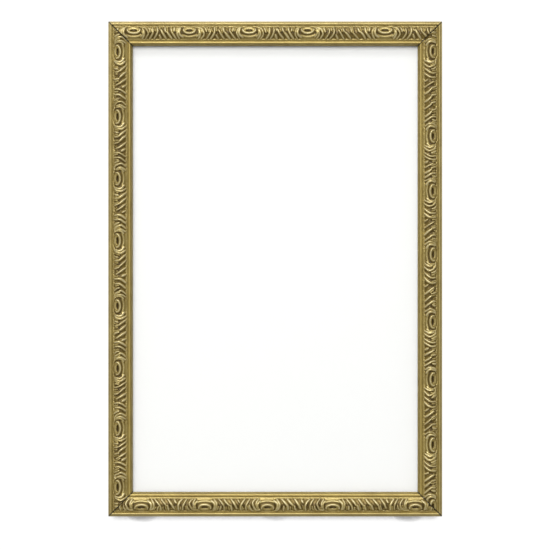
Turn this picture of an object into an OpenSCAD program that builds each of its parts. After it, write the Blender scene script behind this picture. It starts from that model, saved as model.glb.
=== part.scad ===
// Picture frame: four mitred, rebated mouldings with a pressed relief strip on each, glass, a blank
// sheet and a backing board held by turn buttons, and two D-ring hangers.
// The frame hangs upright. X is its width, Z its height, and its face looks along -Y.
// The origin is the middle of the frame on the wall plane, which the four bumpers touch.

/* [Picture] */
// Width of the glass, sheet and board
picture_w = 279.4; // [200:0.1:600]
// Height of the glass, sheet and board
picture_h = 431.8; // [200:0.1:900]
// Room left round the picture in the rebate, on each side
picture_play = 1.6; // [0.5:0.1:3]
// Thickness of the glass
glass_t = 2; // [1.5:0.1:3]
// Thickness of the blank sheet
sheet_t = 1.4; // [0.5:0.1:3]
// Thickness of the backing board
board_t = 3; // [2:0.1:5]

/* [Moulding] */
// Width of the moulding's face, from outer edge to sight edge
rail_w = 23; // [20:0.1:30]
// How far the lip reaches over the picture
lip_w = 6.5; // [4:0.1:8]
// Height of the outer side, up to the shoulder that carries the outer bead
side_h = 11.9; // [11.5:0.1:14]
// Radius of the rounding between the outer side and the shoulder
outer_round_r = 0.6; // [0.2:0.1:1]
// Width of the shoulder outside the outer bead
outer_shoulder_w = 1.1; // [0.5:0.1:2]
// Diameter of the outer bead
outer_bead_d = 2.8; // [2:0.1:4]
// Depth of the seat under the relief strip, above the back
seat_h = 11.2; // [10.8:0.1:12]
// Diameter of the inner bead
inner_bead_d = 3.2; // [2.5:0.1:4]
// Height of the inner bead's centre above the back
inner_bead_h = 10.7; // [10.5:0.05:11]
// Height of the inner groove's floor above the back
inner_groove_h = 10.4; // [9.5:0.1:10.7]
// Width of the inner groove, between the relief strip and the inner bead
inner_groove_w = 0.8; // [0.5:0.1:3]
// Width of the slope beside the opening
sight_slope_w = 1.4; // [1:0.1:2.5]
// Height of the sight edge above the back
sight_h = 8.5; // [7.5:0.1:9.5]
// Width of the crack left at each mitre
mitre_gap = 0.2; // [0:0.05:0.4]

/* [Relief strip] */
// Width of the outer groove, between the outer bead and the strip
outer_groove_w = 0.5; // [0.3:0.1:2]
// Height of the strip's edges above its seat
strip_edge_h = 0.6; // [0.4:0.1:1]
// Rise of the strip's crown above its edges
strip_crown_h = 3.2; // [2.5:0.1:4]
// Half the length of an oval
oval_half_l = 8.6; // [7:0.1:11]
// Spacing of the flutes beside the ovals
flute_pitch = 4.6; // [4:0.1:7]
// How far a flute's crest stands above the plain crown
flute_rise = 0.45; // [0.2:0.05:0.6]
// How far the line between two flutes lies below the plain crown
flute_sink = 0.6; // [0.2:0.05:0.8]

/* [Corner nails] */
// Length of each leg of a V nail
nail_leg = 5; // [3:0.1:6]
// Thickness of a V nail
nail_t = 0.5; // [0.3:0.1:0.8]
// Depth of a V nail in the wood
nail_depth = 7; // [5:0.1:9]

/* [Turn buttons] */
// Width of a turn button
button_w = 10; // [8:0.1:12]
// Distance from a turn button's pivot to the centre of its round tip
button_reach = 13; // [12:0.1:18]
// Thickness of a turn button
button_t = 1; // [0.8:0.1:1.5]
// Gap under a turn button
button_gap = 0.2; // [0.1:0.05:0.4]

/* [Screws] */
// Shank diameter of the screws
screw_d = 2.2; // [2:0.1:3]
// Head diameter of the screws
screw_head_d = 5.2; // [4.5:0.1:6]
// Head height of the screws
screw_head_h = 1.4; // [1:0.1:1.5]
// How far a screw goes into the wood
screw_bite = 8; // [6:0.5:9]

/* [Hangers] */
// Width of a hanger strap
strap_w = 10; // [8:0.1:10.5]
// Thickness of a hanger strap
strap_t = 0.8; // [0.6:0.1:1]
// Distance from a ring's pivot to the end of its strap
strap_l = 20; // [20:0.1:24]
// Distance from a ring's pivot to its screw
strap_screw_drop = 14.6; // [14.6:0.1:16]
// Wire diameter of a hanger ring
ring_wire_d = 1.6; // [1.2:0.1:2]
// Length of a ring's straight arms below its bends
ring_arm_l = 2.2; // [1:0.1:2.4]
// Radius of the bends at a ring's straight bar, to the middle of the wire
ring_bend_r = 1.3; // [1:0.1:1.5]

/* [Bumpers] */
// Diameter of a bumper
bumper_d = 11; // [8:0.1:14]
// Thickness of a bumper, which holds the back off the wall
bumper_t = 4; // [4:0.1:6]

/* [Hidden] */

$fn = 64;

// Overall sizes
opening_w = picture_w + 2 * picture_play;
opening_h = picture_h + 2 * picture_play;
rail_extra = 2 * (rail_w - lip_w);
outer_w = opening_w + rail_extra;
outer_h = opening_h + rail_extra;
land_w = rail_w - lip_w;
rebate_h = glass_t + sheet_t + board_t;

// Depth of the whole section, and one overrun for every cut
strip_top_h = seat_h + strip_edge_h + strip_crown_h + flute_rise;
cut_over = 1;

// Places of the moulding's lines, from the outer edge inward
slope_v = rail_w - sight_slope_w;
inner_bead_v = slope_v - inner_bead_d / 2;
groove_end_v = slope_v - inner_bead_d;
outer_bead_end_v = outer_shoulder_w + outer_bead_d;
strip_edge_v = outer_bead_end_v + outer_groove_w;
strip_end_v = groove_end_v - inner_groove_w;
strip_w = strip_end_v - strip_edge_v;
strip_mid_v = strip_edge_v + strip_w / 2;

// Fits
nail_play = 0.05;
pilot_play = 0.05;
pivot_play = 0.1;
strap_hole_play = 0.2;
head_gap = 0.15;
side_play = 0.3;

// Places of the V nails, as shares of the land's width
nail_place_shares = [0.27, 0.66];

// Places along the rails, as shares of each rail's length from its middle
side_button_share = 0.15;
hanger_height_share = 0.25;
bumper_inset_share = 0.1;

// Screws: length of the point, width and depth of the slot
screw_tip_share = 0.25;
slot_w_share = 0.16;
slot_depth_share = 0.5;
head_round_share = 0.45;

// Bumpers: size of the chamfer round the wall side
bumper_chamfer = 0.6;

// Ovals of the relief, clockwise round the frame from each rail's start
oval_top_shares = [0.076, 0.243, 0.422, 0.597, 0.829];
oval_right_shares = [0.061, 0.232, 0.343, 0.471, 0.607, 0.723, 0.855];
oval_bottom_shares = [0.080, 0.328, 0.523, 0.711, 0.901];
oval_left_shares = [0.059, 0.178, 0.299, 0.425, 0.557, 0.682, 0.807, 0.938];

// Relief of an oval from its middle out: where each line lies, and its height as a share of the
// flutes' rise (above zero) or sink (below zero)
oval_ring_shares = [0, 0.25, 0.52, 0.8, 1];
oval_height_shares = [1, 0.8, -1.2, 1, -1];

// Grid of the relief: rows across the strip, and lines to a flute
strip_rows = 6;
flute_lines = 3;
fewest_flutes = 2;

// Hanger sizes that follow from the wire and the strap
ring_wire_r = ring_wire_d / 2;
loop_bore_r = ring_wire_r + pivot_play;
loop_r = loop_bore_r + strap_t;
pivot_h = strap_t + side_play + ring_wire_r;
ring_bar_half_l = strap_w / 2 + side_play;
ring_half_w = ring_bar_half_l + ring_bend_r;
hanger_x = outer_w / 2 - land_w / 2;
hanger_z = outer_h * hanger_height_share;

// Place of the turn buttons on the long sides, from the middle
button_side_x = outer_h * side_button_share;

gilt = "#8f7f4c";
gilt_relief = "#9a8a55";
steel = "#a8a9a6";
zinc = "#c3c1b6";

function rail_length(side) = side == "top" || side == "bottom" ? outer_w : outer_h;

function turn_of(side) = side == "top" ? 0 : side == "right" ? 90 : side == "bottom" ? 180 : -90;

// Places a piece drawn as if on the top rail, with Z falling from 0 at the outer edge and Y running
// forward from 0 at the back of the wood, on any side of the frame
module on_rail(side) {
    reach = (side == "top" || side == "bottom" ? outer_h : outer_w) / 2;
    translate([0, -bumper_t, 0]) rotate([0, turn_of(side), 0]) translate([0, 0, reach]) children();
}

// Extrudes an outline of [forward, inward] points along the rail
module along_rail(len) {
    rotate([90, 0, 90]) linear_extrude(len, center = true) children();
}

// A point of the moulding's outline, v inward from the outer edge and h above the back
function at(v, h) = [-h, -v];

module moulding_outline() {
    bead_r = outer_bead_d / 2;
    union() {
        polygon([
            at(0, 0), at(0, side_h - outer_round_r), at(outer_round_r, side_h),
            at(outer_bead_end_v, side_h), at(outer_bead_end_v, seat_h),
            at(strip_end_v, seat_h), at(strip_end_v, inner_groove_h),
            at(groove_end_v, inner_groove_h), at(groove_end_v, inner_bead_h),
            at(slope_v, inner_bead_h),
            at(rail_w, sight_h), at(rail_w, rebate_h), at(land_w, rebate_h), at(land_w, 0)
        ]);
        translate(at(outer_round_r, side_h - outer_round_r)) circle(outer_round_r);
        translate(at(outer_bead_end_v - bead_r, side_h)) circle(bead_r);
        translate(at(inner_bead_v, inner_bead_h)) circle(inner_bead_d / 2);
    }
}

// The space that a rail keeps between its two mitres
module mitred_space(len) {
    cut = mitre_gap / sqrt(2);
    half = len / 2 - cut;
    translate([0, cut_over, 0]) rotate([90, 0, 0]) linear_extrude(strip_top_h + 2 * cut_over)
        polygon([[-half, 0], [half, 0], [half - rail_w, -rail_w], [rail_w - half, -rail_w]]);
}

// Two legs at right angles that meet on the mitre, one in each rail
module nail_legs(play, over) {
    for (share = nail_place_shares) {
        v = share * land_w;
        translate([v, over, -v]) rotate([90, 0, 0])
            linear_extrude(nail_depth + play + over)
                translate([-play, -nail_t - play]) {
                    square([nail_leg + 2 * play, nail_t + 2 * play]);
                    translate([0, nail_t - nail_leg])
                        square([nail_t + 2 * play, nail_leg + 2 * play]);
                }
    }
}

// The V nails of the corner at the start of a rail, flush with the back
module corner_nails(side) {
    color(steel) on_rail(side) translate([-rail_length(side) / 2, 0, 0]) nail_legs(0, 0);
}

module screw_at_back(seat_gap) {
    shank = screw_bite + seat_gap;
    tip = screw_bite * screw_tip_share;
    head_r = screw_head_d / 2;
    head_flat = screw_head_h * head_round_share;
    translate([0, seat_gap, 0]) rotate([90, 0, 0]) {
        cylinder(h = shank - tip, d = screw_d);
        translate([0, 0, shank - tip]) cylinder(h = tip, d1 = screw_d, d2 = 0);
    }
    translate([0, seat_gap, 0]) rotate([-90, 0, 0]) difference() {
        union() {
            cylinder(h = screw_head_h - head_flat, d = screw_head_d);
            translate([0, 0, screw_head_h - head_flat])
                cylinder(h = head_flat, r1 = head_r, r2 = head_r - head_flat);
        }
        translate([0, 0, screw_head_h]) cube([screw_head_d + cut_over,
            screw_head_d * slot_w_share, 2 * screw_head_h * slot_depth_share], center = true);
    }
}

// Turn buttons of a side, as places along the rail from its middle
function button_places(side) = side == "top" || side == "bottom" ? [0]
    : [-button_side_x, button_side_x];

// A screw's pilot hole in the back of the wood
module pilot_hole() {
    translate([0, cut_over, 0]) rotate([90, 0, 0])
        cylinder(h = screw_bite + cut_over + pilot_play, d = screw_d + 2 * pilot_play);
}

module rail(side) {
    len = rail_length(side);
    color(gilt) on_rail(side) difference() {
        intersection() {
            along_rail(len) moulding_outline();
            mitred_space(len);
        }
        translate([-len / 2, 0, 0]) nail_legs(nail_play, cut_over);
        mirror([1, 0, 0]) translate([-len / 2, 0, 0]) nail_legs(nail_play, cut_over);
        for (x = button_places(side)) translate([x, 0, -land_w / 2]) pilot_hole();
        if (side == "left")
            translate([hanger_z - strap_screw_drop, 0, -land_w / 2]) pilot_hole();
        if (side == "right")
            translate([strap_screw_drop - hanger_z, 0, -land_w / 2]) pilot_hole();
    }
}

// A line of the relief's grid is [oval, way, ring, reach, limit, height]: it starts on the oval's
// ring and has moved a share of the way to the limit, which is a place along the rail, or the
// mitre where it is undefined. Height stands above the plain crown.
function line_point(line, angle, len) = let (
    t = line[2] * sin(angle),
    v = strip_mid_v + t * strip_w / 2,
    near = line[0] + line[1] * line[2] * oval_half_l * cos(angle),
    mitre = line[1] * (len / 2 - v - mitre_gap / sqrt(2)),
    far = is_undef(line[4]) ? mitre : line[4],
    fade = line[2] < 1 ? 1 : cos(angle),
    h = seat_h + strip_edge_h + strip_crown_h * (1 - t * t) + line[5] * fade
) [near + line[3] * (far - near), -h, -v];

function relief_height(share) = share > 0 ? share * flute_rise : share * flute_sink;

// Lines of the flutes from an oval's outline to a limit, nearest first
function flute_lines_to(oval, way, limit, room) = let (
    count = max(fewest_flutes, round((room - oval_half_l) / flute_pitch))
) [
    for (i = [1:count * flute_lines]) [
        oval, way, 1, i / (count * flute_lines), limit,
        relief_height(i % flute_lines == 0 ? -1 : 1)
    ]
];

function reversed(list) = [for (i = [len(list) - 1:-1:0]) list[i]];

// Lines of one half of an oval from the middle out, without the middle itself
function oval_lines(oval, way) = [
    for (i = [1:len(oval_ring_shares) - 1])
        [oval, way, oval_ring_shares[i], 0, 0, relief_height(oval_height_shares[i])]
];

function without_first(list) = [for (i = [1:len(list) - 1]) list[i]];

function relief_lines(ovals, len) = [
    for (k = [0:len(ovals) - 1]) let (
        c = ovals[k],
        first = k == 0,
        last = k == len(ovals) - 1,
        before = first ? undef : (ovals[k - 1] + c) / 2,
        after = last ? undef : (ovals[k + 1] + c) / 2,
        room_before = first ? c + len / 2 - strip_mid_v : c - before,
        room_after = last ? len / 2 - strip_mid_v - c : after - c,
        left = reversed(flute_lines_to(c, -1, before, room_before))
    ) each concat(
        first ? left : without_first(left),
        reversed(oval_lines(c, -1)),
        [[c, 1, 0, 0, 0, relief_height(oval_height_shares[0])]],
        oval_lines(c, 1),
        flute_lines_to(c, 1, after, room_after)
    )
];

// Inside an oval the two halves share their end points, so a grid point may stand for its twin
function twin_index(lines, rings, c, j) = let (
    line = lines[c],
    is_end = j == 0 || j == strip_rows,
    is_right = line[1] > 0 && line[3] == 0 && line[2] > 0,
    ring = is_right ? [for (i = [1:rings]) if (oval_ring_shares[i] == line[2]) i][0] : 0
) line[2] == 0 ? c * (strip_rows + 1)
    : is_end && is_right ? (c - 2 * ring) * (strip_rows + 1) + j
    : c * (strip_rows + 1) + j;

module relief_strip(side, shares) {
    len = rail_length(side);
    rings = len(oval_ring_shares) - 1;
    lines = relief_lines([for (s = shares) s * len - len / 2], len);
    top = [for (line = lines) for (j = [0:strip_rows])
        line_point(line, 180 * j / strip_rows - 90, len)];
    index = [for (c = [0:len(lines) - 1]) [for (j = [0:strip_rows])
        twin_index(lines, rings, c, j)]];
    last = len(lines) - 1;
    base = len(top);
    corners = [for (p = [top[index[0][0]], top[index[last][0]],
        top[index[last][strip_rows]], top[index[0][strip_rows]]]) [p[0], -seat_h, p[2]]];
    edge = [for (c = [0:last]) if (lines[c][2] == 1 && !(lines[c][1] > 0 && lines[c][3] == 0)) c];
    triangles = [for (c = [0:last - 1]) for (j = [0:strip_rows - 1]) each [
        [index[c][j], index[c + 1][j], index[c + 1][j + 1]],
        [index[c][j], index[c + 1][j + 1], index[c][j + 1]]
    ]];
    skin = [for (t = triangles) if (t[0] != t[1] && t[1] != t[2] && t[2] != t[0]) t];
    walls = [
        concat([base], [base + 1], reversed([for (c = edge) index[c][0]])),
        concat([base + 2], [base + 3], [for (c = edge) index[c][strip_rows]]),
        concat([base + 3], [base], [for (j = [0:strip_rows]) index[0][j]]),
        concat([base + 1], [base + 2], reversed([for (j = [0:strip_rows]) index[last][j]])),
        [base + 3, base + 2, base + 1, base]
    ];
    color(gilt_relief) on_rail(side)
        polyhedron(points = concat(top, corners), faces = concat(skin, walls), convexity = 10);
}

// A flat sheet of the picture's size, from one height above the back to another
module picture_layer(from_h, thick) {
    translate([-picture_w / 2, -bumper_t - from_h - thick, -picture_h / 2])
        cube([picture_w, thick, picture_h]);
}

module glass_pane() {
    color("#dfe8e6", 0.4) picture_layer(board_t + sheet_t, glass_t);
}

module blank_sheet() {
    color("#fbfaf6") picture_layer(board_t, sheet_t);
}

module backing_board() {
    color("#9c7a52") picture_layer(0, board_t);
}

// A flat plate with round ends that turns on its screw, its tongue over the backing board
module turn_button(side, x) {
    bore_r = screw_d / 2 + pivot_play;
    color(zinc) on_rail(side) translate([x, button_gap, -land_w / 2])
        rotate([-90, 90, 0]) linear_extrude(button_t) difference() {
            union() {
                circle(d = button_w);
                translate([0, -button_w / 2]) square([button_reach, button_w]);
                translate([button_reach, 0]) circle(d = button_w);
            }
            circle(bore_r);
        }
}

module button_screws() {
    color(zinc) for (side = ["top", "right", "bottom", "left"])
        for (x = button_places(side)) on_rail(side) translate([x, 0, -land_w / 2])
            screw_at_back(button_gap + button_t + head_gap);
}

// Places a piece drawn about a ring's pivot, with Y running back from the wood
module at_hanger(way) {
    translate([way * hanger_x, -bumper_t, hanger_z]) children();
}

// The strap's side view: a plate with its end rolled into a loop round the ring's bar
module strap_outline() {
    difference() {
        union() {
            translate([-strap_l, 0]) square([strap_l, strap_t]);
            translate([0, pivot_h]) circle(loop_r);
        }
        translate([0, pivot_h]) circle(loop_bore_r);
    }
}

module hanger_strap(way) {
    round_r = strap_w / 2;
    color(zinc) at_hanger(way) difference() {
        intersection() {
            rotate([0, -90, 0]) linear_extrude(strap_w, center = true) strap_outline();
            translate([0, -cut_over, 0]) rotate([-90, 0, 0])
                linear_extrude(pivot_h + loop_r + 2 * cut_over) union() {
                    translate([0, strap_l - round_r]) circle(round_r);
                    translate([-round_r, -loop_r - cut_over])
                        square([strap_w, strap_l - round_r + loop_r + cut_over]);
                }
        }
        translate([0, -cut_over, -strap_screw_drop]) rotate([-90, 0, 0])
            cylinder(h = strap_t + 2 * cut_over, r = screw_d / 2 + strap_hole_play);
    }
}

// A D of round wire: bar, two bends, two arms and half a circle, folded down over the strap
module hanger_ring(way) {
    color(steel) at_hanger(way) translate([0, pivot_h, 0]) {
        rotate([0, 90, 0]) cylinder(h = 2 * ring_bar_half_l, r = ring_wire_r, center = true);
        for (hand = [0, 1]) mirror([hand, 0, 0]) {
            translate([ring_bar_half_l, 0, -ring_bend_r]) rotate([90, 0, 0])
                rotate_extrude(angle = 90) translate([ring_bend_r, 0]) circle(ring_wire_r);
            translate([ring_half_w, 0, -ring_bend_r - ring_arm_l])
                cylinder(h = ring_arm_l, r = ring_wire_r);
        }
        translate([0, 0, -ring_bend_r - ring_arm_l]) rotate([90, 180, 0])
            rotate_extrude(angle = 180) translate([ring_half_w, 0]) circle(ring_wire_r);
    }
}

module hanger_screws() {
    color(zinc) for (way = [-1, 1]) at_hanger(way) translate([0, 0, -strap_screw_drop])
        screw_at_back(strap_t);
}

// A soft round pad between the wood and the wall
module bumper(way_x, way_z) {
    x = outer_w / 2 - outer_w * bumper_inset_share;
    z = outer_h / 2 - land_w / 2;
    r = bumper_d / 2;
    color("#e9e6dd") translate([way_x * x, -bumper_t, way_z * z]) rotate([-90, 0, 0])
        rotate_extrude() polygon([
            [0, 0], [r, 0], [r, bumper_t - bumper_chamfer], [r - bumper_chamfer, bumper_t],
            [0, bumper_t]
        ]);
}

rail("top");  // rail_top
rail("right");  // rail_right
rail("bottom");  // rail_bottom
rail("left");  // rail_left
relief_strip("top", oval_top_shares);  // ornament_top
relief_strip("right", oval_right_shares);  // ornament_right
relief_strip("bottom", oval_bottom_shares);  // ornament_bottom
relief_strip("left", oval_left_shares);  // ornament_left
corner_nails("right");  // v_nails_top_right
corner_nails("bottom");  // v_nails_bottom_right
corner_nails("left");  // v_nails_bottom_left
corner_nails("top");  // v_nails_top_left
glass_pane();
blank_sheet();
backing_board();
turn_button("top", 0);  // turn_button_top
turn_button("right", -button_side_x);  // turn_button_right_upper
turn_button("right", button_side_x);  // turn_button_right_lower
turn_button("bottom", 0);  // turn_button_bottom
turn_button("left", -button_side_x);  // turn_button_left_lower
turn_button("left", button_side_x);  // turn_button_left_upper
button_screws();
hanger_strap(-1);  // hanger_strap_left
hanger_strap(1);  // hanger_strap_right
hanger_ring(-1);  // hanger_ring_left
hanger_ring(1);  // hanger_ring_right
hanger_screws();
bumper(-1, 1);  // bumper_top_left
bumper(1, 1);  // bumper_top_right
bumper(-1, -1);  // bumper_bottom_left
bumper(1, -1);  // bumper_bottom_right
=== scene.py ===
# An upright picture frame with an antique gilt moulding. Each rail carries a pressed relief strip
# of ovals and curved flutes; glass, a blank sheet and a board are held from the back by turn
# buttons. The frame hangs upright: X is its width, Z its height, and its face looks along -Y.
import math

import bmesh
import bpy
import numpy as np
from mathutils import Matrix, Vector


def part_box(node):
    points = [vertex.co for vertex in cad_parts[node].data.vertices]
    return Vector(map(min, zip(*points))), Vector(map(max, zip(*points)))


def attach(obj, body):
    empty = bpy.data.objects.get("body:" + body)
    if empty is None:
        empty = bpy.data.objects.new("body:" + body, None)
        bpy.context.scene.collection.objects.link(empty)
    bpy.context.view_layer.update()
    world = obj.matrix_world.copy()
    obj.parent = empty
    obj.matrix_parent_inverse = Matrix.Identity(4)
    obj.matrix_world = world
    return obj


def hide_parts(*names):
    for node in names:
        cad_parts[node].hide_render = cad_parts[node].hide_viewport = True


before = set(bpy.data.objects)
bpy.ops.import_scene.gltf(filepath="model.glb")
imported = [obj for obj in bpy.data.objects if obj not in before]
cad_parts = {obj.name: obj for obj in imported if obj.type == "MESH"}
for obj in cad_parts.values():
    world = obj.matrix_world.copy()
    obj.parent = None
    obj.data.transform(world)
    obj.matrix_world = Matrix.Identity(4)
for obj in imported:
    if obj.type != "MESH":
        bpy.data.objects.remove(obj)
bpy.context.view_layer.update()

MM = 0.001

# Places of the moulding's lines, from the frame: inward from its outer edge, and from the wall
RAIL_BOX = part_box("rail_top")
STRIP_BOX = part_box("ornament_top")
HALF_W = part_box("rail_right")[1].x
HALF_H = RAIL_BOX[1].z
RAIL_W = RAIL_BOX[1].z - RAIL_BOX[0].z
MITRE_CUT = HALF_W - RAIL_BOX[1].x
STRIP_FROM = HALF_H - STRIP_BOX[1].z
STRIP_TO = HALF_H - STRIP_BOX[0].z
SEAT_Y = STRIP_BOX[1].y
CREST_Y = STRIP_BOX[0].y
BACK_Y = RAIL_BOX[1].y


# Materials

def colour(code):
    """An sRGB hex code as linear red, green, blue and alpha."""
    parts = [int(code[i:i + 2], 16) / 255 for i in (1, 3, 5)]
    return [p / 12.92 if p <= 0.04045 else ((p + 0.055) / 1.055) ** 2.4 for p in parts] + [1]


def add(tree, kind, inputs=None, stops=None, **settings):
    """Adds a node. Inputs name what goes into each socket: a value, or the node or output that
    feeds it. Stops are a ramp's places, each with a hex code or a grey level."""
    made = tree.nodes.new(kind)
    for name, value in settings.items():
        setattr(made, name, value)
    for i, (place, shade) in enumerate(stops or ()):
        elements = made.color_ramp.elements
        element = elements[i] if i < 2 else elements.new(place)
        element.position = place
        element.color = colour(shade) if isinstance(shade, str) else [shade, shade, shade, 1]
    for key, value in (inputs or {}).items():
        if isinstance(value, bpy.types.Node):
            value = next(socket for socket in value.outputs if socket.enabled)
        if isinstance(value, bpy.types.NodeSocket):
            tree.links.new(value, made.inputs[key])
        else:
            made.inputs[key].default_value = value
    return made


def new_material(name):
    """A material with an empty tree: the material, its tree, and the Object coordinates in it."""
    made = bpy.data.materials.new(name)
    made.use_nodes = True
    made.node_tree.nodes.clear()
    return made, made.node_tree, add(made.node_tree, "ShaderNodeTexCoord").outputs["Object"]


def frame_places(tree, place):
    """How far a point lies inward from the frame's outer edge, and from the nearest mitre, in
    metres, and whether it is on an upright rail."""
    parts = add(tree, "ShaderNodeSeparateXYZ", {0: place}).outputs
    across = add(tree, "ShaderNodeMath", {0: parts[0]}, operation="ABSOLUTE")
    up = add(tree, "ShaderNodeMath", {0: parts[2]}, operation="ABSOLUTE")
    from_side = add(tree, "ShaderNodeMath", {0: HALF_W, 1: across}, operation="SUBTRACT")
    from_end = add(tree, "ShaderNodeMath", {0: HALF_H, 1: up}, operation="SUBTRACT")
    inward = add(tree, "ShaderNodeMath", {0: from_side, 1: from_end}, operation="MINIMUM")
    apart = add(tree, "ShaderNodeMath", {0: from_side, 1: from_end}, operation="SUBTRACT")
    apart = add(tree, "ShaderNodeMath", {0: apart}, operation="ABSOLUTE")
    from_mitre = add(tree, "ShaderNodeMath", {0: apart, 1: math.sqrt(0.5)}, operation="MULTIPLY")
    upright = add(tree, "ShaderNodeMath", {0: from_side, 1: from_end}, operation="LESS_THAN")
    return inward, from_mitre, upright


# Antique gilt: gold bronze over gesso or composition, toned with a brown glaze that was wiped off
# the high places; the paler crests and darker hollows are also painted highlight and painted
# shade. Cloud, fleck and tooth are the sizes of its blotches, specks and brush tooth.
CLOUD = 11 * MM
FLECK = 1.6 * MM
TOOTH = 0.45 * MM
MITRE_CRACK = 0.7 * MM
GILT_METALLIC = 0.55
# A thin coat of shellac over it all gives the gold a second, softer and paler sheen
SHELLAC = {"Coat Weight": 0.3, "Coat Roughness": 0.35}


def mitre_crack(tree, from_mitre):
    """1 in the hairline crack where two rails meet, and 0 beside it."""
    share = add(tree, "ShaderNodeMath", {0: from_mitre, 1: MITRE_CRACK}, operation="DIVIDE")
    return add(tree, "ShaderNodeValToRGB", {0: share}, [(0.35, 1.0), (1.0, 0.0)])


def gilt_skin(tree, place, gold, from_mitre):
    """The gilt's colour, roughness and normal: gold clouded by glaze, and dark at the mitres."""
    clouds = add(tree, "ShaderNodeTexNoise", {"Vector": place, "Scale": 1 / CLOUD, "Detail": 3})
    flecks = add(tree, "ShaderNodeTexNoise", {"Vector": place, "Scale": 1 / FLECK, "Detail": 5})
    tooth = add(tree, "ShaderNodeTexNoise", {"Vector": place, "Scale": 1 / TOOTH, "Detail": 2})
    glaze = add(tree, "ShaderNodeValToRGB", {0: clouds}, [(0.35, 0.0), (0.7, 0.3)])
    toned = add(tree, "ShaderNodeMix", {0: glaze, 6: gold, 7: colour("#a08c58")}, data_type="RGBA",
                blend_type="MULTIPLY")
    crack = mitre_crack(tree, from_mitre)
    base = add(tree, "ShaderNodeMix", {0: crack, 6: toned, 7: colour("#1f1806")}, data_type="RGBA")
    rough = add(tree, "ShaderNodeMapRange", {0: flecks, 1: 0.3, 2: 0.7, 3: 0.34, 4: 0.48})
    both = add(tree, "ShaderNodeMath", {0: flecks, 1: tooth}, operation="ADD")
    normal = add(tree, "ShaderNodeBump", {"Height": both, "Distance": 0.05 * MM, "Strength": 0.6})
    return base, rough, normal


def wiped_gilt_relief():
    """Gilt on pressed composition: olive-brown glaze left in the hollows, pale rubbed crests, and
    with them painted shade in the hollows and painted highlight on the crests. The relief
    attribute says how high a point stands above what is round it."""
    made, tree, place = new_material("wiped_gilt_on_composition")
    from_mitre = frame_places(tree, place)[1]
    height = add(tree, "ShaderNodeAttribute", attribute_name="relief").outputs["Fac"]
    specks = add(tree, "ShaderNodeTexNoise", {"Vector": place, "Scale": 1 / FLECK, "Detail": 4})
    uneven = add(tree, "ShaderNodeMath", {0: specks, 1: 0.3, 2: height}, operation="MULTIPLY_ADD")
    # Dark glaze in the hollows to pale crests: also painted shade and painted highlight
    gold = add(tree, "ShaderNodeValToRGB", {0: uneven},
               [(0.08, "#483708"), (0.32, "#7a6629"), (0.56, "#9e8a49"), (0.78, "#b9a86d"),
                (1.0, "#d2c494")])
    base, rough, normal = gilt_skin(tree, place, gold, from_mitre)
    shader = add(tree, "ShaderNodeBsdfPrincipled",
                 {"Base Color": base, "Roughness": rough, "Normal": normal,
                  "Metallic": GILT_METALLIC, **SHELLAC})
    add(tree, "ShaderNodeOutputMaterial", {"Surface": shader})
    return made


# Sawn pine: how wide a growth line is, and how much it is drawn out along the rail
GROWTH_LINE = 2.2 * MM
ALONG_GRAIN = 0.06


def gilt_on_wood():
    """Gilt on the smooth bands of the moulding, paler along the bead crests and darker in the
    notch and grooves beside them: rubbed wear, and with it painted highlight and painted shade.
    The back of the rail is sawn pine, with its growth lines along the rail and a dark joint at
    each mitre."""
    made, tree, place = new_material("wiped_gilt_on_pine")
    inward, from_mitre, upright = frame_places(tree, place)
    share = add(tree, "ShaderNodeMath", {0: inward, 1: RAIL_W}, operation="DIVIDE")
    # Pale crests and dark notch and grooves: painted highlight and painted shade, and some wear
    gold = add(tree, "ShaderNodeValToRGB", {0: share},
               [(0.0, "#ac9b63"), (0.038, "#a39259"), (0.055, "#84733d"), (0.072, "#a39259"),
                (0.1, "#b7a467"), (0.145, "#9c8947"), (0.8, "#ab964f"), (0.87, "#b39e58"),
                (0.93, "#9d8945"), (1.0, "#aa9757")])
    base, rough, normal = gilt_skin(tree, place, gold, from_mitre)
    depth = add(tree, "ShaderNodeSeparateXYZ", {0: place}).outputs[1]
    bare = add(tree, "ShaderNodeMapRange", {0: depth, 1: BACK_Y - 0.15 * MM, 2: BACK_Y - 0.05 * MM})
    level = add(tree, "ShaderNodeMapping", {0: place, "Scale": (ALONG_GRAIN, 1, 1)})
    standing = add(tree, "ShaderNodeMapping", {0: place, "Scale": (1, 1, ALONG_GRAIN)})
    along = add(tree, "ShaderNodeMix", {0: upright, 4: level, 5: standing}, data_type="VECTOR")
    grain = add(tree, "ShaderNodeTexNoise",
                {"Vector": along, "Scale": 1 / GROWTH_LINE, "Detail": 4})
    wood = add(tree, "ShaderNodeValToRGB", {0: grain},
               [(0.3, "#b98f5b"), (0.5, "#d0aa74"), (0.7, "#dfc08c")])
    joint = mitre_crack(tree, from_mitre)
    wood = add(tree, "ShaderNodeMix", {0: joint, 6: wood, 7: colour("#4a3319")}, data_type="RGBA")
    skin = add(tree, "ShaderNodeMix", {0: bare, 6: base, 7: wood}, data_type="RGBA")
    rough = add(tree, "ShaderNodeMix", {0: bare, 2: rough, 3: 0.75})
    metal = add(tree, "ShaderNodeMapRange", {0: bare, 3: GILT_METALLIC, 4: 0.0})
    shader = add(tree, "ShaderNodeBsdfPrincipled",
                 {"Base Color": skin, "Roughness": rough, "Normal": normal,
                  "Metallic": metal, **SHELLAC})
    add(tree, "ShaderNodeOutputMaterial", {"Surface": shader})
    return made


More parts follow.
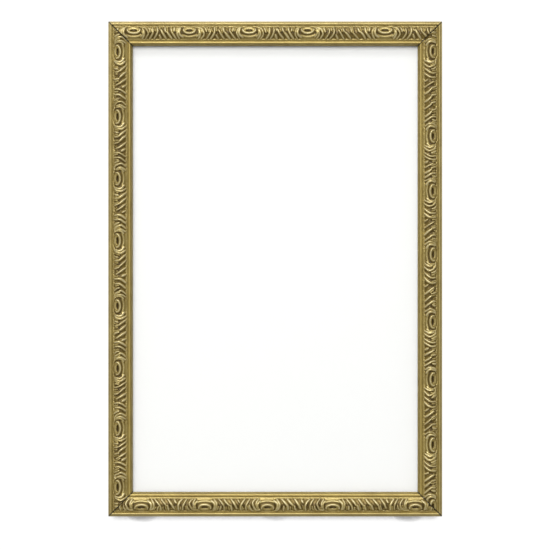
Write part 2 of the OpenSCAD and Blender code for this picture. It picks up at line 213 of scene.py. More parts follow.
def white_board():
    """Mount board: matt white card with a faint tooth."""
    made, tree, place = new_material("white_mount_board")
    fibre = add(tree, "ShaderNodeTexNoise", {"Vector": place, "Scale": 1 / (0.8 * MM), "Detail": 4})
    base = add(tree, "ShaderNodeValToRGB", {0: fibre}, [(0.2, "#fbfbfa"), (0.8, "#fefefd")])
    normal = add(tree, "ShaderNodeBump", {"Height": fibre, "Distance": 0.02 * MM, "Strength": 0.5})
    shader = add(tree, "ShaderNodeBsdfPrincipled",
                 {"Base Color": base, "Normal": normal, "Roughness": 0.9,
                  "Specular IOR Level": 0.2})
    add(tree, "ShaderNodeOutputMaterial", {"Surface": shader})
    return made


def clear_glass():
    """Float glass 2 mm thick: clear, with a sharp reflection, and lamps shine through it."""
    made, tree, place = new_material("clear_float_glass")
    waves = add(tree, "ShaderNodeTexNoise", {"Vector": place, "Scale": 1 / (60 * MM), "Detail": 1})
    normal = add(tree, "ShaderNodeBump", {"Height": waves, "Distance": 0.02 * MM, "Strength": 0.2})
    pane = add(tree, "ShaderNodeBsdfPrincipled",
               {"Base Color": colour("#fdfefe"), "Roughness": 0.02, "IOR": 1.5,
                "Transmission Weight": 1, "Normal": normal})
    rays = add(tree, "ShaderNodeLightPath").outputs
    lit = add(tree, "ShaderNodeMath", {0: rays["Is Shadow Ray"], 1: rays["Is Diffuse Ray"]},
              operation="MAXIMUM")
    open_way = add(tree, "ShaderNodeBsdfTransparent")
    shader = add(tree, "ShaderNodeMixShader", {0: lit, 1: pane, 2: open_way})
    add(tree, "ShaderNodeOutputMaterial", {"Surface": shader})
    return made


def hardboard():
    """Pressed wood fibre: mid brown, faintly mottled, pale and dark fibres on a slight sheen."""
    made, tree, place = new_material("pressed_hardboard")
    mottle = add(tree, "ShaderNodeTexNoise", {"Vector": place, "Scale": 1 / (14 * MM), "Detail": 3})
    along = add(tree, "ShaderNodeMapping", {0: place, "Scale": (1, 1, 0.35)})
    fibre = add(tree, "ShaderNodeTexNoise", {"Vector": along, "Scale": 1 / (1.1 * MM), "Detail": 6})
    broad = add(tree, "ShaderNodeValToRGB", {0: mottle}, [(0.3, "#7d5a38"), (0.7, "#94704a")])
    fine = add(tree, "ShaderNodeValToRGB", {0: fibre},
               [(0.3, "#5f4126"), (0.55, "#8f6b45"), (0.75, "#b08e64")])
    base = add(tree, "ShaderNodeMix", {0: 0.5, 6: broad, 7: fine}, data_type="RGBA")
    rough = add(tree, "ShaderNodeMapRange", {0: fibre, 1: 0.3, 2: 0.7, 3: 0.5, 4: 0.68})
    normal = add(tree, "ShaderNodeBump", {"Height": fibre, "Distance": 0.08 * MM, "Strength": 0.6})
    shader = add(tree, "ShaderNodeBsdfPrincipled",
                 {"Base Color": base, "Roughness": rough, "Normal": normal})
    add(tree, "ShaderNodeOutputMaterial", {"Surface": shader})
    return made


# How much rougher steel is between its scratches than in them
SCRATCHED = 0.14


def bright_steel(name, dull, pale, grain, rough):
    """Steel sheet or wire, blank or plated: grey clouds and fine scratches along Z."""
    made, tree, place = new_material(name)
    clouds = add(tree, "ShaderNodeTexNoise", {"Vector": place, "Scale": 1 / (3 * MM), "Detail": 3})
    along = add(tree, "ShaderNodeMapping", {0: place, "Scale": (1, 1, 0.2)})
    scratches = add(tree, "ShaderNodeTexNoise", {"Vector": along, "Scale": 1 / grain, "Detail": 2})
    base = add(tree, "ShaderNodeValToRGB", {0: clouds}, [(0.3, dull), (0.7, pale)])
    level = add(tree, "ShaderNodeMapRange",
                {0: scratches, 1: 0.3, 2: 0.7, 3: rough, 4: rough + SCRATCHED})
    normal = add(tree, "ShaderNodeBump",
                 {"Height": scratches, "Distance": 0.01 * MM, "Strength": 0.5})
    shader = add(tree, "ShaderNodeBsdfPrincipled",
                 {"Base Color": base, "Roughness": level, "Normal": normal, "Metallic": 1})
    add(tree, "ShaderNodeOutputMaterial", {"Surface": shader})
    return made


def soft_rubber():
    """Moulded soft rubber: warm off-white, slightly waxy, a little soiled."""
    made, tree, place = new_material("soft_moulded_rubber")
    soil = add(tree, "ShaderNodeTexNoise", {"Vector": place, "Scale": 1 / (4 * MM), "Detail": 4})
    base = add(tree, "ShaderNodeValToRGB", {0: soil}, [(0.3, "#c9c4b4"), (0.7, "#e4e0d4")])
    rough = add(tree, "ShaderNodeMapRange", {0: soil, 1: 0.3, 2: 0.7, 3: 0.5, 4: 0.62})
    normal = add(tree, "ShaderNodeBump", {"Height": soil, "Distance": 0.03 * MM, "Strength": 0.5})
    shader = add(tree, "ShaderNodeBsdfPrincipled",
                 {"Base Color": base, "Roughness": rough, "Normal": normal,
                  "Subsurface Weight": 0.15, "Subsurface Scale": MM})
    add(tree, "ShaderNodeOutputMaterial", {"Surface": shader})
    return made


# Relief strips. Lengths in this section are in millimetres: u runs clockwise along a rail from its
# middle, v inward from the outer edge, and heights are measured from the strip's plain crown.

CELL = 0.3
STRIP_EDGE_H = 0.6
RISE = 0.45
SINK = 1.3
CROWN_H = (SEAT_Y - CREST_Y) / MM - STRIP_EDGE_H - RISE
# Wear has softened the carving over about this much, and its crests stay this far below the rise
WEAR = 0.3
CREST_ROOM = 0.02

# The gilt runs on from the strip into the grooves at its sides, down to the foot of each bead. At
# the outer side it comes down from a ledge.
FOOT_H = 0.3
OUTER_FOOT = 0.55
INNER_FOOT = 0.9
LEDGE_TO = 0.3
LEDGE_FADE = 0.5

# Ovals clockwise round the frame, as shares of each rail's length from its start
OVAL_SHARES = {
    "top": [0.076, 0.243, 0.422, 0.597, 0.829],
    "right": [0.061, 0.232, 0.343, 0.471, 0.607, 0.723, 0.855],
    "bottom": [0.080, 0.328, 0.523, 0.711, 0.901],
    "left": [0.059, 0.178, 0.299, 0.425, 0.557, 0.682, 0.807, 0.938],
}
USUAL_GAP = 58.7

# An oval is an eye: a low dome with a short lid, a curved lens and a deep pupil between them. A
# narrow hollow runs round all but its outer side, with crescents beside it, an outer ring below
# it, and a plain skirt below that. Each ridge has its path from the oval's middle, its half width
# and its height. The changes are the least and the greatest squeeze, lean and drop of one eye.
EYE_V = 8.8
EYE_RIDGES = [
    ([(-3.0, 6.2), (-1.4, 5.9), (1.4, 5.9), (3.0, 6.2)], 1.2, 0.05),
    ([(-6.0, 7.2), (-5.8, 9.2), (-3.4, 10.9), (0, 11.5), (3.4, 10.9), (5.8, 9.2), (6.0, 7.2)],
     1.7, 0.43),
]
DOME_RIM = -0.5
DOME_TOP = -0.35
PUPIL_V = 8.7
PUPIL_HALF_L = 3.1
PUPIL_HALF_W = 0.9
PUPIL_FLANK = 0.9
PUPIL_SINK = 2.0
HOLLOW_HALF_L = 7.8
HOLLOW_HALF_W = 4.5
HOLLOW_FLANK = 0.65
HOLLOW_FROM = 4.8
HOLLOW_FADE = 1.5
EYE_EDGE = 0.8
EYE_CHANGES = (0.93, -0.05, -0.2), (1.07, 0.05, 0.2)
EYE_SURROUND = [
    ([(-8.6, 7.0), (-9.8, 10.2), (-9.0, 13.0), (-6.0, 15.2)], 2.2, 0.4),
    ([(8.6, 7.6), (9.5, 10.2), (8.8, 12.8), (6.8, 14.8)], 1.7, 0.1),
    ([(-7.0, 13.2), (-4.6, 14.4), (0, 15.1), (4.6, 14.4), (7.0, 13.2)], 1.8, -0.3),
    ([(-7.0, 16.9), (7.0, 16.9)], 2.2, -0.5),
]

# Ridges of the flutes, as they follow an oval, and as they come before the next, from its middle
FLUTES_AFTER = [
    [(9.8, 8.2), (10.9, 11.2), (10.2, 13.8), (8.4, 16.7)],
    [(7.9, 6.3), (9.8, 5.5), (11.8, 6.4), (13.3, 8.8), (14.6, 11.8), (13.6, 14.2), (11.2, 17.0)],
    [(14.5, 5.8), (16.0, 7.6), (16.7, 10.2)],
    [(20.0, 6.2), (20.6, 9.7), (19.6, 12.6), (16.6, 16.6)],
    [(24.4, 5.8), (25.0, 9.5), (23.8, 13.1), (20.7, 17.0)],
    [(26.6, 13.2), (28.2, 16.4)],
    [(28.6, 7.8), (30.8, 11.7), (34.3, 16.8)],
]
FLUTES_BEFORE = [
    [(-25.5, 5.8), (-24.7, 8.3), (-24.3, 10.2)],
    [(-23.3, 10.4), (-20.9, 13.0), (-18.1, 16.8)],
    [(-18.5, 6.0), (-18.7, 9.0), (-16.5, 12.4), (-13.1, 16.8)],
    [(-14.7, 6.0), (-15.5, 9.4)],
    [(-8.2, 5.8), (-10.1, 6.4), (-11.5, 9.2), (-11.9, 11.6), (-11.3, 13.4), (-9.2, 16.5)],
]
# Where two lengths of strip meet, the gap is long, and its first pair of flutes is repeated
LONG_GAP = 1.12 * USUAL_GAP
REPEAT = 7.0
EYE_ROOM = 9.0
FLUTE_HALF_W = 1.75
FLUTE_FROM = 5.0
FLUTE_TO = 17.3
# How much wider or narrower and how much lower a flute may be, and how far it, and each point of
# it, may lie out of its place
FLUTE_WIDTHS = (0.8, 1.2)
FLUTE_DROP = 0.25
FLUTE_SLIP = 0.3
POINT_SLIP = 0.35

# A thin low stroke fills the hollow beside the upper part of each flute
STROKE_HALF_W = 1.0
STROKE_ASIDE = (1.7, 2.3)
STROKE_TO = 11.5
STROKE_HEIGHTS = (-0.3, 0.25)

# A ridge falls away from near its path, in shares of its half width. It is narrower at its ends
# and wider in its middle, and reaches no further than this along the rail.
RIDGE_CREST_SHARE = 0.12
RIDGE_FLANK_SHARE = 0.8
RIDGE_END_SHARE = 0.75
RIDGE_SWELL_SHARE = 0.35
RIDGE_REACH = 14

# The ground under the flutes is sunk, with dents that are deeper in its outer half. Pairs of
# fades say how softly the ground and the flutes begin at their outer and inner side.
GROUND_H = -0.3
GROUND_FADES = (1.4, 1.6)
FLUTE_FADES = (1.4, 1.2)
DENT = 0.5
DENTS_FROM = 4.6
DENTS_FADE = 0.8
DENT_DEPTH = 0.1
OUTER_DENT_DEPTH = 0.2
OUTER_DENTS_TO = 10.5
OUTER_DENTS_FADE = 3.0

# The relief's shades run from 0, full of glaze, to 1, rubbed bare. They follow how far a point
# stands above what is round it, and how far it stands above the middle height, up to a little
# beyond the flutes: glaze left in the hollows, and with it painted shade in the hollows and
# painted highlight on the crests. The inner margin is painted a little paler, and the band along
# the pupils a little darker.
PLAIN_SHADE = 0.42
BACK_SHADE = 0.2
MIDDLE_SHADE = 0.5
MIDDLE_H = -0.25
ROUND_IT = 2.4
STAND_RANGE = 2.6
HEIGHT_RANGE = 3.2
SHADED_BEYOND = (1, 0.4)
SHADED_FADES = (1.2, 0.9)
MARGIN_PALER = 0.08
MARGIN_FROM = 12.4
MARGIN_FADE = 2
PUPILS_DARKER = 0.1
PUPILS_V = 10.2
PUPILS_REACH = 2.6

# Grains are punched up from the ground between the flutes, along the outer edge of each strip.
# Their sizes are the least and the greatest, along, across and up, as shares of their radius.
GRAINS_FROM = 4.5
GRAINS_TO = 8.0
GRAINS_BELOW = -0.2
GRAIN_RADIUS = 0.36
GRAIN_SPACING = 0.95
GRAIN_SHADE = 0.55
GRAIN_SIZES = (0.7, 0.7, 0.5), (1.3, 1.3, 0.9)
GRAINS_PER_SQUARE_METRE = 3e6

# Seeds of the random draws: the strips count up from theirs
STRIP_SEED = 11
GRAIN_SEED = 5


def eased(x):
    """Rises smoothly from 0 to 1 as x does."""
    x = np.clip(x, 0, 1)
    return x * x * (3 - 2 * x)


def rounded(path):
    """The path with its corners cut twice."""
    for _ in range(2):
        cut = [path[0]]
        for (ax, ay), (bx, by) in zip(path, path[1:]):
            cut += [(0.75 * ax + 0.25 * bx, 0.75 * ay + 0.25 * by),
                    (0.25 * ax + 0.75 * bx, 0.25 * ay + 0.75 * by)]
        path = cut + [path[-1]]
    return path


def ridge(path, wide, tall, u, v):
    """Height of a ridge along the path, whose corners are rounded. It thins towards its ends."""
    path = rounded(path)
    near, along = np.full(u.shape, np.inf), np.zeros(u.shape)
    for i, ((ax, ay), (bx, by)) in enumerate(zip(path, path[1:])):
        wx, wy = bx - ax, by - ay
        t = np.clip(((u - ax) * wx + (v - ay) * wy) / (wx * wx + wy * wy), 0, 1)
        away = np.hypot(u - ax - t * wx, v - ay - t * wy)
        along = np.where(away < near, (i + t) / (len(path) - 1), along)
        near = np.minimum(near, away)
    wide = wide * (RIDGE_END_SHARE + RIDGE_SWELL_SHARE * np.sin(math.pi * along))
    return tall - (tall + SINK) * eased((near / wide - RIDGE_CREST_SHARE) / RIDGE_FLANK_SHARE)


def away_from_oval(u, v, half_l, half_w):
    """About how far each point lies outside the oval round 0, or inside it where negative. The
    slope in its middle is kept off zero."""
    share = np.hypot(u / half_l, v / half_w)
    return (share - 1) * share / np.maximum(np.hypot(u / half_l ** 2, v / half_w ** 2), 0.02)


def flute_paths(a, b, rng):
    """Ridges between the ovals at a and b, each a little out of place, as the carver left it."""
    extra = round((b - a - USUAL_GAP) / REPEAT) if b - a > LONG_GAP else 0
    stretch = (b - a - 2 * EYE_ROOM - extra * REPEAT) / (USUAL_GAP - 2 * EYE_ROOM)
    again = [[(s - REPEAT * (i + 1), v) for s, v in path]
             for i in range(extra) for path in FLUTES_BEFORE[:2]]
    paths = []
    for start, way, group in ((a, 1, FLUTES_AFTER), (b, -1, FLUTES_BEFORE + again)):
        for path in group:
            du, dv = rng.uniform(-FLUTE_SLIP, FLUTE_SLIP, 2)
            slips = rng.uniform(-POINT_SLIP, POINT_SLIP, (len(path), 2))
            paths.append([(start + way * (EYE_ROOM + (abs(s) - EYE_ROOM) * stretch) + du + slip,
                           v + dv + rise) for (s, v), (slip, rise) in zip(path, slips)])
    return paths


def eye_relief(u, v):
    """Height of an oval's eye round u 0, and how far it covers what is under it, 0 to 1."""
    share = np.hypot(u / HOLLOW_HALF_L, (v - EYE_V) / HOLLOW_HALF_W)
    height = DOME_RIM + (DOME_TOP - DOME_RIM) * np.clip(1 - share * share, 0, 1)
    for path, wide, tall in EYE_RIDGES:
        height = np.maximum(height, ridge(path, wide, tall, u, v))
    pupil = away_from_oval(u, v - PUPIL_V, PUPIL_HALF_L, PUPIL_HALF_W)
    height -= (height + PUPIL_SINK) * eased(0.5 - pupil / PUPIL_FLANK)
    rim = away_from_oval(u, v - EYE_V, HOLLOW_HALF_L, HOLLOW_HALF_W)
    flank, fade = eased(1.5 - np.abs(rim) / HOLLOW_FLANK), eased((v - HOLLOW_FROM) / HOLLOW_FADE)
    height -= (height + SINK) * flank * fade
    return height, eased(0.5 - rim / EYE_EDGE)


def blurred(grid, size):
    """The grid averaged over about size millimetres, along and across."""
    reach = max(1, round(size / CELL))
    kernel = np.hanning(2 * reach + 3)[1:-1]
    kernel /= kernel.sum()
    for axis, pads in enumerate((((reach, reach), (0, 0)), ((0, 0), (reach, reach)))):
        padded = np.pad(grid, pads, mode="edge")
        grid = np.apply_along_axis(np.convolve, axis, padded, kernel, mode="valid")
    return grid


def carving(u, v, length, shares, seed):
    """Height of the carving over the plain crown, on a grid of u and v."""
    rng = np.random.default_rng(seed)
    ovals = [share * length - length / 2 for share in shares]
    ovals = [ovals[0] - USUAL_GAP] + ovals + [ovals[-1] + USUAL_GAP]
    low, high = STRIP_FROM / MM, STRIP_TO / MM
    plain = GROUND_H * eased((v - low) / GROUND_FADES[0]) * eased((high - v) / GROUND_FADES[1])
    worked = eased((v - FLUTE_FROM) / FLUTE_FADES[0]) * eased((FLUTE_TO - v) / FLUTE_FADES[1])
    dents = blurred(rng.standard_normal(u.shape), DENT)
    deep = DENT_DEPTH + OUTER_DENT_DEPTH * eased((OUTER_DENTS_TO - v) / OUTER_DENTS_FADE)
    dents = dents / dents.std() * eased((v - DENTS_FROM) / DENTS_FADE) * deep
    height = plain + (-SINK - plain) * worked + dents
    paths = [path for a, b in zip(ovals, ovals[1:]) for path in flute_paths(a, b, rng)]
    ridges = [(path, FLUTE_HALF_W * rng.uniform(*FLUTE_WIDTHS), RISE - rng.uniform(0, FLUTE_DROP))
              for path in paths]
    for path in paths:
        beside = rng.choice((-1, 1)) * rng.uniform(*STROKE_ASIDE)
        upper = [(s + beside, w) for s, w in path if w < STROKE_TO]
        if len(upper) > 1:
            ridges.append((upper, STROKE_HALF_W, rng.uniform(*STROKE_HEIGHTS)))
    ridges += [([(oval + s, w) for s, w in path], wide, tall)
               for oval in ovals for path, wide, tall in EYE_SURROUND]
    for path, wide, tall in ridges:
        near = np.abs(u[0] - np.mean([point[0] for point in path])) < RIDGE_REACH
        rising = ridge(path, wide, tall, u[:, near], v[:, near])
        height[:, near] = np.maximum(height[:, near], rising)
    for oval in ovals:
        near = np.abs(u[0] - oval) < 2 * EYE_ROOM
        squeeze, lean, drop = rng.uniform(*EYE_CHANGES)
        place = v[:, near] - drop
        ring, cover = eye_relief((u[:, near] - oval + lean * (place - EYE_V)) * squeeze, place)
        height[:, near] += (ring - height[:, near]) * cover
    return np.minimum(blurred(height, WEAR), RISE - CREST_ROOM)


# For each side: the way clockwise along it, the way out from the middle, and the two half sizes
SIDES = {
    "top": (Vector((1, 0, 0)), Vector((0, 0, 1)), HALF_W, HALF_H),
    "right": (Vector((0, 0, -1)), Vector((1, 0, 0)), HALF_H, HALF_W),
    "bottom": (Vector((-1, 0, 0)), Vector((0, 0, -1)), HALF_W, HALF_H),
    "left": (Vector((0, 0, 1)), Vector((-1, 0, 0)), HALF_H, HALF_W),
}


def strip_grid(half):
    """Grid of u and v over a strip whose ends follow the mitres, with each point's own index."""
    low, high = STRIP_FROM / MM - OUTER_FOOT, STRIP_TO / MM + INNER_FOOT
    half, cut = half / MM, MITRE_CUT / MM
    rows = np.linspace(low, high, round((high - low) / CELL) + 1)
    ends = half - rows - cut
    columns = np.linspace(-ends[0], ends[0], round(2 * ends[0] / CELL) + 1)
    v, u = np.meshgrid(rows, columns, indexing="ij")
    first = np.searchsorted(columns, -ends, side="right") - 1
    last = np.searchsorted(columns, ends, side="left")
    place = np.clip(np.arange(len(columns))[None, :], np.clip(first, 0, None)[:, None],
                    np.clip(last, None, len(columns) - 1)[:, None])
    index = np.arange(len(rows))[:, None] * len(columns) + place
    return np.clip(u, -ends[:, None], ends[:, None]), v, index


def grid_faces(index):
    """Faces over a grid of indices, without those that the ends have squeezed to nothing."""
    corners = index[:-1, :-1], index[:-1, 1:], index[1:, 1:], index[1:, :-1]
    quads = np.stack(corners, axis=-1).reshape(-1, 4)
    faces = []
    for quad in quads.tolist():
        corners = [p for i, p in enumerate(quad) if p != quad[i - 1]]
        if len(corners) > 2:
            faces.append(corners)
    return faces


def strip_faces(index):
    """Faces of a closed strip, whose back repeats the top's points, and how many are its top's."""
    size = index.size
    base = np.stack([index[0], index[-1]]) + size
    top = grid_faces(index)
    walls = [[a, b, b + size, a + size] for a, b in zip(index[0, 1:], index[0, :-1]) if a != b]
    walls += [[a, b, b + size, a + size] for a, b in zip(index[-1, :-1], index[-1, 1:]) if a != b]
    ends = [[*index[:, 0].tolist(), base[1, 0], base[0, 0]],
            [*index[::-1, -1].tolist(), base[0, -1], base[1, -1]]]
    return top + [list(map(int, f)) for f in walls + ends] + grid_faces(base[::-1]), len(top)


def glaze_and_painted_shade(carved, v):
    """The relief's shade at each point, from 0, full of glaze, to 1, rubbed bare. Low places get
    painted shade and high places painted highlight, along with the glaze.
    """
    above = (carved - blurred(carved, ROUND_IT)) / STAND_RANGE
    shade = MIDDLE_SHADE + above + (carved - MIDDLE_H) / HEIGHT_RANGE
    worked = (eased((v - FLUTE_FROM + SHADED_BEYOND[0]) / SHADED_FADES[0])
              * eased((FLUTE_TO + SHADED_BEYOND[1] - v) / SHADED_FADES[1]))
    margin = MARGIN_PALER * eased((v - MARGIN_FROM) / MARGIN_FADE)
    pupils = PUPILS_DARKER * eased(1 - np.abs(v - PUPILS_V) / PUPILS_REACH)
    return PLAIN_SHADE + (shade - PLAIN_SHADE) * worked + worked * (margin - pupils)


def add_values(mesh, name, values):
    """Gives each point of the mesh its value, for materials and for the grains to read."""
    field = mesh.attributes.new(name, "FLOAT", "POINT")
    field.data.foreach_set("value", values.astype(np.float32))


def relief_strip(side, seed):
    """A closed strip with its carving. Its attributes give each point's shade, glaze with painted
    shade and highlight, as relief, and say where grains may stand, as ground."""
    along, out, half, reach = SIDES[side]
    u, v, index = strip_grid(half)
    mid, width = (STRIP_FROM + STRIP_TO) / 2 / MM, (STRIP_TO - STRIP_FROM) / MM
    t = (v - mid) / (width / 2)
    carved = carving(u, v, 2 * half / MM, OVAL_SHARES[side], seed)
    ledge = eased((STRIP_FROM / MM + LEDGE_TO - v) / LEDGE_FADE)
    foot = FOOT_H + (STRIP_EDGE_H - FOOT_H) * ledge
    height = np.maximum(STRIP_EDGE_H + CROWN_H * (1 - t * t) + carved, foot)
    size = index.size
    faces, top_count = strip_faces(index)
    used = np.unique(np.concatenate([np.array(f) for f in faces]))
    new = np.full(2 * size, -1)
    new[used] = np.arange(len(used))
    flat_u, flat_v = np.tile(u.ravel(), 2), np.tile(v.ravel(), 2)
    flat_h = np.concatenate([height.ravel(), np.zeros(size)])
    points = (np.outer(flat_u, along) + np.outer(reach / MM - flat_v, out)) * MM
    points[:, 1] = SEAT_Y - flat_h * MM
    mesh = bpy.data.meshes.new("relief_" + side)
    mesh.from_pydata(points[used].tolist(), [], [[int(new[p]) for p in f] for f in faces])
    glaze_and_painted_tones = np.concatenate([glaze_and_painted_shade(carved, v).ravel(), np.full(size, BACK_SHADE)])
    add_values(mesh, "relief", glaze_and_painted_tones[used])
    bare = (v > GRAINS_FROM) & (v < GRAINS_TO) & (carved < GRAINS_BELOW)
    add_values(mesh, "ground", np.concatenate([bare.ravel(), np.zeros(size)])[used])
    smooth = np.zeros(len(faces), bool)
    smooth[:top_count] = True
    mesh.polygons.foreach_set("use_smooth", smooth)
    mesh.update()
    piece = bpy.data.objects.new("relief_" + side, mesh)
    bpy.context.scene.collection.objects.link(piece)
    return piece


def grains_tree():
    """Scatters grains over a surface where its ground attribute is 1, each lying flat on it."""
    tree = bpy.data.node_groups.new("punched_grains", "GeometryNodeTree")
    for name, kind in (("Surface", "Geometry"), ("Grain Radius", "Float"), ("Spacing", "Float"),
                       ("Shade", "Float"), ("Seed", "Int"), ("Finish", "Material")):
        tree.interface.new_socket(name, in_out="INPUT", socket_type="NodeSocket" + kind)
    tree.interface.new_socket("Grains", in_out="OUTPUT", socket_type="NodeSocketGeometry")
    given = add(tree, "NodeGroupInput").outputs
    ground = add(tree, "GeometryNodeInputNamedAttribute", {"Name": "ground"}, data_type="FLOAT")
    points = add(tree, "GeometryNodeDistributePointsOnFaces",
                 {"Mesh": given["Surface"], "Distance Min": given["Spacing"],
                  "Density Max": GRAINS_PER_SQUARE_METRE, "Density Factor": ground,
                  "Seed": given["Seed"]}, distribute_method="POISSON")
    grain = add(tree, "GeometryNodeMeshIcoSphere",
                {"Radius": given["Grain Radius"], "Subdivisions": 1})
    shaded = add(tree, "GeometryNodeStoreNamedAttribute",
                 {"Geometry": grain.outputs["Mesh"], "Name": "relief", "Value": given["Shade"]},
                 data_type="FLOAT")
    size = add(tree, "FunctionNodeRandomValue",
               {0: GRAIN_SIZES[0], 1: GRAIN_SIZES[1], "Seed": given["Seed"]},
               data_type="FLOAT_VECTOR")
    placed = add(tree, "GeometryNodeInstanceOnPoints",
                 {"Points": points.outputs["Points"], "Instance": shaded,
                  "Rotation": points.outputs["Rotation"], "Scale": size})
    solid = add(tree, "GeometryNodeRealizeInstances", {"Geometry": placed})
    finished = add(tree, "GeometryNodeSetMaterial",
                   {"Geometry": solid, "Material": given["Finish"]})
    add(tree, "NodeGroupOutput", {"Grains": finished})
    return tree


def punched_grains(strips, finish, seed):
    """One mesh with the grains of all strips, made from the tree and freed of it."""
    joined = bmesh.new()
    for strip in strips:
        joined.from_mesh(strip.data)
    mesh = bpy.data.meshes.new("ground")
    joined.to_mesh(mesh)
    joined.free()
    piece = bpy.data.objects.new("punched_grains", mesh)
    bpy.context.scene.collection.objects.link(piece)
    modifier = piece.modifiers.new("grains", "NODES")
    modifier.node_group = grains_tree()
    given = {"Grain Radius": GRAIN_RADIUS * MM, "Spacing": GRAIN_SPACING * MM, "Shade": GRAIN_SHADE,
             "Seed": seed, "Finish": finish}
    for item in modifier.node_group.interface.items_tree:
        if item.name in given:
            modifier[item.identifier] = given[item.name]
    evaluated = piece.evaluated_get(bpy.context.evaluated_depsgraph_get())
    grains = bpy.data.meshes.new_from_object(evaluated)
    piece.modifiers.clear()
    piece.data = grains
    return piece


# The object's pieces

relief_gilt = wiped_gilt_relief()
strips = []
for number, side in enumerate(SIDES):
    strip = relief_strip(side, number + STRIP_SEED)
    strip.data.materials.append(relief_gilt)
    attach(strip, "root")
    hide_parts("ornament_" + side)
    strips.append(strip)
grains = punched_grains(strips, relief_gilt, GRAIN_SEED)
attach(grains, "root")

zinc = bright_steel("zinc_plated_steel", "#9da09e", "#c9cac6", 0.5 * MM, 0.26)
nickel = bright_steel("nickel_plated_wire", "#b0aea8", "#d2cfc8", 0.4 * MM, 0.16)
blank_steel = bright_steel("blank_steel", "#7b7d7e", "#a2a4a4", 0.5 * MM, 0.34)
FINISHES = {
    "rail": gilt_on_wood(), "v_nails": blank_steel, "glass": clear_glass(),
    "blank": white_board(), "backing": hardboard(), "turn": zinc, "button": zinc,
    "hanger_strap": zinc, "hanger_screws": zinc, "hanger_ring": nickel, "bumper": soft_rubber(),
}
for name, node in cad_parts.items():
    for start, finish in FINISHES.items():
        if name.startswith(start):
            for slot in node.material_slots:
                slot.material = finish


# The stage: a pale floor, and a white wall that the frame hangs on

WALL_HALF = 1.3
WALL_TOP = 1.3
FLOOR_HALF = 4
FLOOR_Z = -0.75
WALL_GAP = 0.3 * MM
# How far the painted shadow on the wall looks for the frame
PAINTED_SHADE_REACH = 12 * MM


def stage_plane(name, corners, material):
    """A plane that belongs to the stage, and not to the part."""
    mesh = bpy.data.meshes.new(name)
    mesh.from_pydata(corners, [], [[0, 1, 2, 3]])
    mesh.materials.append(material)
    piece = bpy.data.objects.new(name, mesh)
    bpy.context.scene.collection.objects.link(piece)


def wall_paint():
    """Matt white paint, seen only from the front: lamps reach the back of the frame through it. The
    frame's shadow on it is painted: the wall's glow is dimmed by ambient occlusion, so the shade
    is short and lies below each rail, as on the photographed wall."""
    made, tree, _ = new_material("white_wall")
    rays = add(tree, "ShaderNodeLightPath").outputs
    seen = add(tree, "ShaderNodeMath", {0: rays["Is Camera Ray"], 1: rays["Is Glossy Ray"]},
               operation="MAXIMUM")
    seen = add(tree, "ShaderNodeMath", {0: seen, 1: rays["Is Transmission Ray"]},
               operation="MAXIMUM")
    back = add(tree, "ShaderNodeNewGeometry").outputs["Backfacing"]
    shown = add(tree, "ShaderNodeMath", {0: seen, 1: back}, operation="GREATER_THAN")
    # Painted shadow: the glow is dimmed where ambient occlusion finds the frame close above
    up = add(tree, "ShaderNodeCombineXYZ", {0: 0, 1: -0.4, 2: 0.9})
    ao_for_painted_shade = add(tree, "ShaderNodeAmbientOcclusion", {"Distance": PAINTED_SHADE_REACH, "Normal": up},
                   samples=16)
    glow = add(tree, "ShaderNodeMapRange",
               {0: ao_for_painted_shade.outputs["AO"], 1: 0.58, 2: 0.68, 3: 0.3, 4: 0.97})
    paint = add(tree, "ShaderNodeBsdfDiffuse", {"Color": colour("#525252")})
    light = add(tree, "ShaderNodeEmission", {"Strength": glow})
    both = add(tree, "ShaderNodeAddShader", {0: paint, 1: light})
    away = add(tree, "ShaderNodeBsdfTransparent")
    shader = add(tree, "ShaderNodeMixShader", {0: shown, 1: away, 2: both})
    add(tree, "ShaderNodeOutputMaterial", {"Surface": shader})
    return made


def floor_paint():
    """Pale matt studio floor."""
    made, tree, place = new_material("pale_floor")
    blotch = add(tree, "ShaderNodeTexNoise", {"Vector": place, "Scale": 2.5})
    base = add(tree, "ShaderNodeValToRGB", {0: blotch}, [(0.3, "#a3a29f"), (0.7, "#adaca9")])
    shader = add(tree, "ShaderNodeBsdfDiffuse", {"Color": base})
    add(tree, "ShaderNodeOutputMaterial", {"Surface": shader})
    return made


stage_plane("wall", [(-WALL_HALF, WALL_GAP, FLOOR_Z), (WALL_HALF, WALL_GAP, FLOOR_Z),
                     (WALL_HALF, WALL_GAP, WALL_TOP), (-WALL_HALF, WALL_GAP, WALL_TOP)],
            wall_paint())
stage_plane("floor", [(-FLOOR_HALF, -FLOOR_HALF, FLOOR_Z), (FLOOR_HALF, -FLOOR_HALF, FLOOR_Z),
                      (FLOOR_HALF, FLOOR_HALF, FLOOR_Z), (-FLOOR_HALF, FLOOR_HALF, FLOOR_Z)],
            floor_paint())


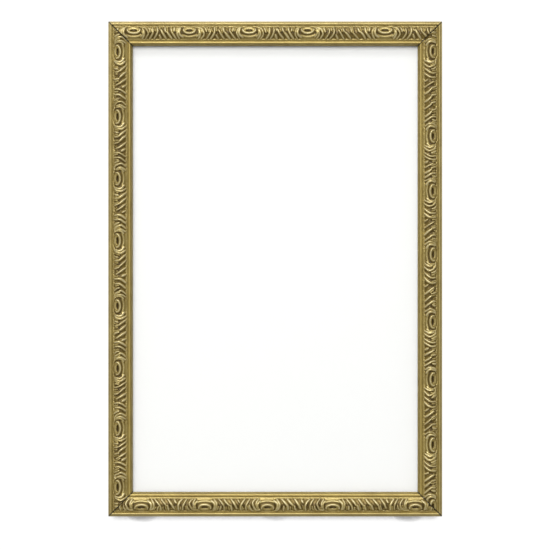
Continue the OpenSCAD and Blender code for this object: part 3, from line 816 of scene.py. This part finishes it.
def soft_lamp(name, place, width, height, power):
    """A large soft lamp that looks at the frame's middle."""
    lamp = bpy.data.lights.new(name, "AREA")
    lamp.shape = "RECTANGLE"
    lamp.size, lamp.size_y, lamp.energy = width, height, power
    holder = bpy.data.objects.new(name, lamp)
    holder.location = place
    holder.rotation_euler = (-Vector(place)).to_track_quat("-Z", "Y").to_euler()
    bpy.context.scene.collection.objects.link(holder)


# Each lamp's place, width and height, in metres, and its power, in watts
LAMPS = {
    "window_above": ((-0.7, -3.1, 2.25), 2.8, 0.8, 49),
    "window_high": ((-0.5, -2.0, 3.2), 2.8, 0.6, 31.5),
    "window_front": ((-0.5, -4.0, 1.35), 1.0, 0.6, 58),
    "window_behind": ((0, 1.6, 1.2), 1.6, 1.0, 12),
}
for name, lamp in LAMPS.items():
    soft_lamp(name, *lamp)

# The studio's walls are brighter above than below
world = bpy.data.worlds.new("studio")
bpy.context.scene.world = world
world.use_nodes = True
world.node_tree.nodes.clear()
way = add(world.node_tree, "ShaderNodeTexCoord").outputs["Generated"]
height = add(world.node_tree, "ShaderNodeSeparateXYZ", {0: way}).outputs[2]
level = add(world.node_tree, "ShaderNodeMapRange", {0: height, 1: -0.3, 2: 0.9, 3: 0.05, 4: 0.95})
glow = add(world.node_tree, "ShaderNodeBackground", {"Color": colour("#f4f4f4"), "Strength": level})
add(world.node_tree, "ShaderNodeOutputWorld", {"Surface": glow})

# The camera stands square to the frame, a little below its middle
VIEW_DISTANCE = 2.8
FACE_Y = SEAT_Y - STRIP_EDGE_H * MM
IMAGE_PX = 550
METRES_PER_PX = 0.9453 * MM
FRAME_MIDDLE_PX = (275.2, 268.95)
SENSOR = 36.0

camera_data = bpy.data.cameras.new("camera")
camera_data.sensor_width = SENSOR
camera_data.lens = SENSOR * VIEW_DISTANCE / (IMAGE_PX * METRES_PER_PX)
camera = bpy.data.objects.new("camera", camera_data)
camera.location = ((IMAGE_PX / 2 - FRAME_MIDDLE_PX[0]) * METRES_PER_PX, FACE_Y - VIEW_DISTANCE,
                   (FRAME_MIDDLE_PX[1] - IMAGE_PX / 2) * METRES_PER_PX)
camera.rotation_euler = (math.pi / 2, 0, 0)
bpy.context.scene.collection.objects.link(camera)
bpy.context.scene.camera = camera
bpy.context.scene.view_settings.view_transform = "Standard"
